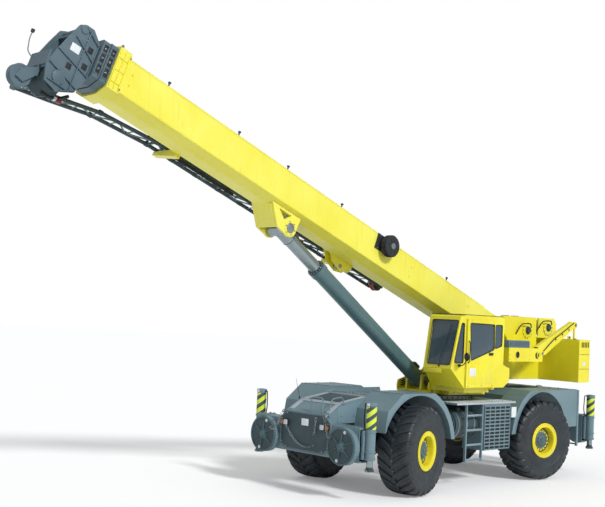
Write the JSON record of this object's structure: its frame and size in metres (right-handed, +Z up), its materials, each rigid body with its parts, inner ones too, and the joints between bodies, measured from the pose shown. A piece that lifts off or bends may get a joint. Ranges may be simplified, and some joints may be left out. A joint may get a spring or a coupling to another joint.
{
  "type": "rough terrain crane",
  "caption": "Two-axle rough-terrain mobile crane with slewing turret and cab, telescopic boom on a lift cylinder, outriggers, stowed lattice jib and four steered wheels",
  "frame": {"origin": "on the ground, under the middle of the machine's overall box", "axes": "+Z up, +X to the machine's left, where the cab is, and -Y to its front, where the boom points"},
  "size_m": [3.6296, 16.09, 8.1911],
  "materials": {
    "yellow_paint": "glossy yellow paint, weathered",
    "grey_paint": "satin blue-grey paint",
    "dark_paint": "satin dark grey paint",
    "tyre_rubber": "matt black rubber",
    "bright_steel": "bright machined steel",
    "window_glass": "tinted safety glass",
    "black_plastic": "matt black plastic",
    "iron": "plain dark iron"
  },
  "bodies": {
    "carrier": {"carrier_frame": "dark_paint", "front_outrigger_box": "grey_paint", "rear_outrigger_box": "grey_paint", "front_body": "grey_paint", "rear_body": "grey_paint", "engine_hood": "grey_paint", "mid_deck": "grey_paint", "grille_box": "grey_paint", "fuel_tank": "dark_paint", "hydraulic_tank": "dark_paint", "engine_block": "iron", "front_axle": "dark_paint", "rear_axle": "dark_paint"},
    "turret": {"turret_frame": "yellow_paint", "counterweight": "yellow_paint", "cab_shell": "yellow_paint", "corner_glass": "window_glass", "rear_side_glass": "window_glass", "right_glass": "window_glass", "windscreen": "window_glass", "back_glass": "window_glass", "operator_seat": "black_plastic", "control_column": "black_plastic"},
    "cab_door": {"cab_door": "yellow_paint", "door_glass": "window_glass"},
    "main_hoist": {"main_hoist_drum": "bright_steel"},
    "aux_hoist": {"aux_hoist_drum": "bright_steel"},
    "boom_pin": {"boom_pivot_pin": "bright_steel"},
    "boom": {"boom_base": "yellow_paint", "swing_away_jib": "dark_paint", "cable_reel": "black_plastic"},
    "boom_2": {"boom_section_2": "dark_paint"},
    "boom_3": {"boom_section_3": "dark_paint"},
    "boom_4": {"boom_tip": "dark_paint"},
    "nose_sheaves": {"nose_sheaves": "dark_paint"},
    "aux_sheave": {"aux_nose_sheave": "dark_paint"},
    "foot_pin": {"cylinder_foot_pin": "bright_steel"},
    "barrel": {"lift_cylinder_barrel": "grey_paint"},
    "piston": {"lift_piston_ring": "bright_steel"},
    "rod": {"lift_cylinder_rod": "bright_steel"},
    "knuckle_front_left": {"steering_knuckle_front_left": "dark_paint"},
    "wheel_front_left": {"rim_front_left": "yellow_paint", "tyre_front_left": "tyre_rubber"},
    "knuckle_front_right": {"steering_knuckle_front_right": "dark_paint"},
    "wheel_front_right": {"rim_front_right": "yellow_paint", "tyre_front_right": "tyre_rubber"},
    "knuckle_rear_left": {"steering_knuckle_rear_left": "dark_paint"},
    "wheel_rear_left": {"rim_rear_left": "yellow_paint", "tyre_rear_left": "tyre_rubber"},
    "knuckle_rear_right": {"steering_knuckle_rear_right": "dark_paint"},
    "wheel_rear_right": {"rim_rear_right": "yellow_paint", "tyre_rear_right": "tyre_rubber"},
    "beam_front_left": {"outrigger_beam_front_left": "grey_paint"},
    "jack_front_left": {"jack_rod_front_left": "bright_steel"},
    "beam_front_right": {"outrigger_beam_front_right": "grey_paint"},
    "jack_front_right": {"jack_rod_front_right": "bright_steel"},
    "beam_rear_left": {"outrigger_beam_rear_left": "grey_paint"},
    "jack_rear_left": {"jack_rod_rear_left": "bright_steel"},
    "beam_rear_right": {"outrigger_beam_rear_right": "grey_paint"},
    "jack_rear_right": {"jack_rod_rear_right": "bright_steel"}
  },
  "joints": [
    {"name": "slew", "type": "hinge", "parent": "carrier", "child": "turret", "pos_m": [0, 3.57558, 1.976], "axis": [0, 0, 1], "continuous": true},
    {"name": "boom_lift", "type": "hinge", "parent": "turret", "child": "boom_pin", "pos_m": [0, 4.65358, 3.249], "axis": [-1, 0, 0], "range_deg": [0, 58.5]},
    {"name": "boom_lower", "type": "hinge", "parent": "boom_pin", "child": "boom", "pos_m": [0, 4.65358, 3.249], "axis": [-1, 0, 0], "range_deg": [-22.5, 0]},
    {"name": "cylinder_lift", "type": "hinge", "parent": "turret", "child": "foot_pin", "pos_m": [0, 2.72558, 2.27], "axis": [-1, 0, 0], "range_deg": [0, 58.69]},
    {"name": "cylinder_lower", "type": "hinge", "parent": "foot_pin", "child": "barrel", "pos_m": [0, 2.72558, 2.27], "axis": [-1, 0, 0], "range_deg": [-28.96, 0]},
    {"name": "cylinder_extend", "type": "slide", "parent": "barrel", "child": "piston", "axis": [0, -0.8375, 0.5465], "range_m": [0, 2.113]},
    {"name": "cylinder_retract", "type": "slide", "parent": "piston", "child": "rod", "axis": [0, -0.8375, 0.5465], "range_m": [-0.60343, 0]},
    {"name": "boom_extend_2", "type": "slide", "parent": "boom", "child": "boom_2", "axis": [0, -0.9426, 0.3338], "range_m": [0, 8.8]},
    {"name": "boom_extend_3", "type": "slide", "parent": "boom_2", "child": "boom_3", "axis": [0, -0.9426, 0.3338], "range_m": [0, 8.8]},
    {"name": "boom_extend_4", "type": "slide", "parent": "boom_3", "child": "boom_4", "axis": [0, -0.9426, 0.3338], "range_m": [0, 8.8]},
    {"name": "nose_sheaves_turn", "type": "hinge", "parent": "boom_4", "child": "nose_sheaves", "pos_m": [0, -7.30716, 7.21931], "axis": [1, 0, 0], "continuous": true},
    {"name": "aux_sheave_turn", "type": "hinge", "parent": "boom_4", "child": "aux_sheave", "pos_m": [0, -7.82805, 7.18629], "axis": [1, 0, 0], "continuous": true},
    {"name": "main_hoist_turn", "type": "hinge", "parent": "turret", "child": "main_hoist", "pos_m": [0, 6.10558, 3.52], "axis": [1, 0, 0], "continuous": true},
    {"name": "aux_hoist_turn", "type": "hinge", "parent": "turret", "child": "aux_hoist", "pos_m": [0, 7.05058, 3.615], "axis": [1, 0, 0], "continuous": true},
    {"name": "cab_door_slide", "type": "slide", "parent": "turret", "child": "cab_door", "axis": [0, 1, 0], "range_m": [0, 0.7]},
    {"name": "steer_front_left", "type": "hinge", "parent": "carrier", "child": "knuckle_front_left", "pos_m": [1.045, 0.94458, 0.935], "axis": [0, 0, 1], "range_deg": [-36.4, 13.6]},
    {"name": "wheel_front_left_roll", "type": "hinge", "parent": "knuckle_front_left", "child": "wheel_front_left", "pos_m": [1.29007, 0.99399, 0.935], "axis": [0.9803, 0.1977, 0], "continuous": true},
    {"name": "steer_front_right", "type": "hinge", "parent": "carrier", "child": "knuckle_front_right", "pos_m": [-1.045, 0.94458, 0.935], "axis": [0, 0, 1], "range_deg": [-36.4, 13.6]},
    {"name": "wheel_front_right_roll", "type": "hinge", "parent": "knuckle_front_right", "child": "wheel_front_right", "pos_m": [-1.29007, 0.89517, 0.935], "axis": [0.9803, 0.1977, 0], "continuous": true},
    {"name": "steer_rear_left", "type": "hinge", "parent": "carrier", "child": "knuckle_rear_left", "pos_m": [1.045, 5.66958, 0.935], "axis": [0, 0, 1], "range_deg": [-13.6, 36.4]},
    {"name": "wheel_rear_left_roll", "type": "hinge", "parent": "knuckle_rear_left", "child": "wheel_rear_left", "pos_m": [1.29007, 5.62017, 0.935], "axis": [0.9803, -0.1977, 0], "continuous": true},
    {"name": "steer_rear_right", "type": "hinge", "parent": "carrier", "child": "knuckle_rear_right", "pos_m": [-1.045, 5.66958, 0.935], "axis": [0, 0, 1], "range_deg": [-13.6, 36.4]},
    {"name": "wheel_rear_right_roll", "type": "hinge", "parent": "knuckle_rear_right", "child": "wheel_rear_right", "pos_m": [-1.29007, 5.71899, 0.935], "axis": [0.9803, -0.1977, 0], "continuous": true},
    {"name": "outrigger_front_left_out", "type": "slide", "parent": "carrier", "child": "beam_front_left", "axis": [1, 0, 0], "range_m": [0, 1.95]},
    {"name": "jack_front_left_down", "type": "slide", "parent": "beam_front_left", "child": "jack_front_left", "axis": [0, 0, -1], "range_m": [0, 0.6]},
    {"name": "outrigger_front_right_out", "type": "slide", "parent": "carrier", "child": "beam_front_right", "axis": [-1, 0, 0], "range_m": [0, 1.95]},
    {"name": "jack_front_right_down", "type": "slide", "parent": "beam_front_right", "child": "jack_front_right", "axis": [0, 0, -1], "range_m": [0, 0.6]},
    {"name": "outrigger_rear_left_out", "type": "slide", "parent": "carrier", "child": "beam_rear_left", "axis": [1, 0, 0], "range_m": [0, 1.95]},
    {"name": "jack_rear_left_down", "type": "slide", "parent": "beam_rear_left", "child": "jack_rear_left", "axis": [0, 0, -1], "range_m": [0, 0.6]},
    {"name": "outrigger_rear_right_out", "type": "slide", "parent": "carrier", "child": "beam_rear_right", "axis": [-1, 0, 0], "range_m": [0, 1.95]},
    {"name": "jack_rear_right_down", "type": "slide", "parent": "beam_rear_right", "child": "jack_rear_right", "axis": [0, 0, -1], "range_m": [0, 0.6]}
  ],
  "couplings": [
    {"joint": "cylinder_lift", "follows": "boom_lift", "ratio": 1.0033},
    {"joint": "cylinder_lower", "follows": "boom_lower", "ratio": 1.287},
    {"joint": "cylinder_extend", "follows": "boom_lift", "m_per_rad": 2.0695},
    {"joint": "cylinder_retract", "follows": "boom_lower", "m_per_rad": 1.5366},
    {"joint": "boom_extend_3", "follows": "boom_extend_2", "ratio": 1},
    {"joint": "boom_extend_4", "follows": "boom_extend_2", "ratio": 1},
    {"joint": "steer_front_right", "follows": "steer_front_left", "ratio": 1},
    {"joint": "steer_rear_right", "follows": "steer_rear_left", "ratio": 1}
  ]
}
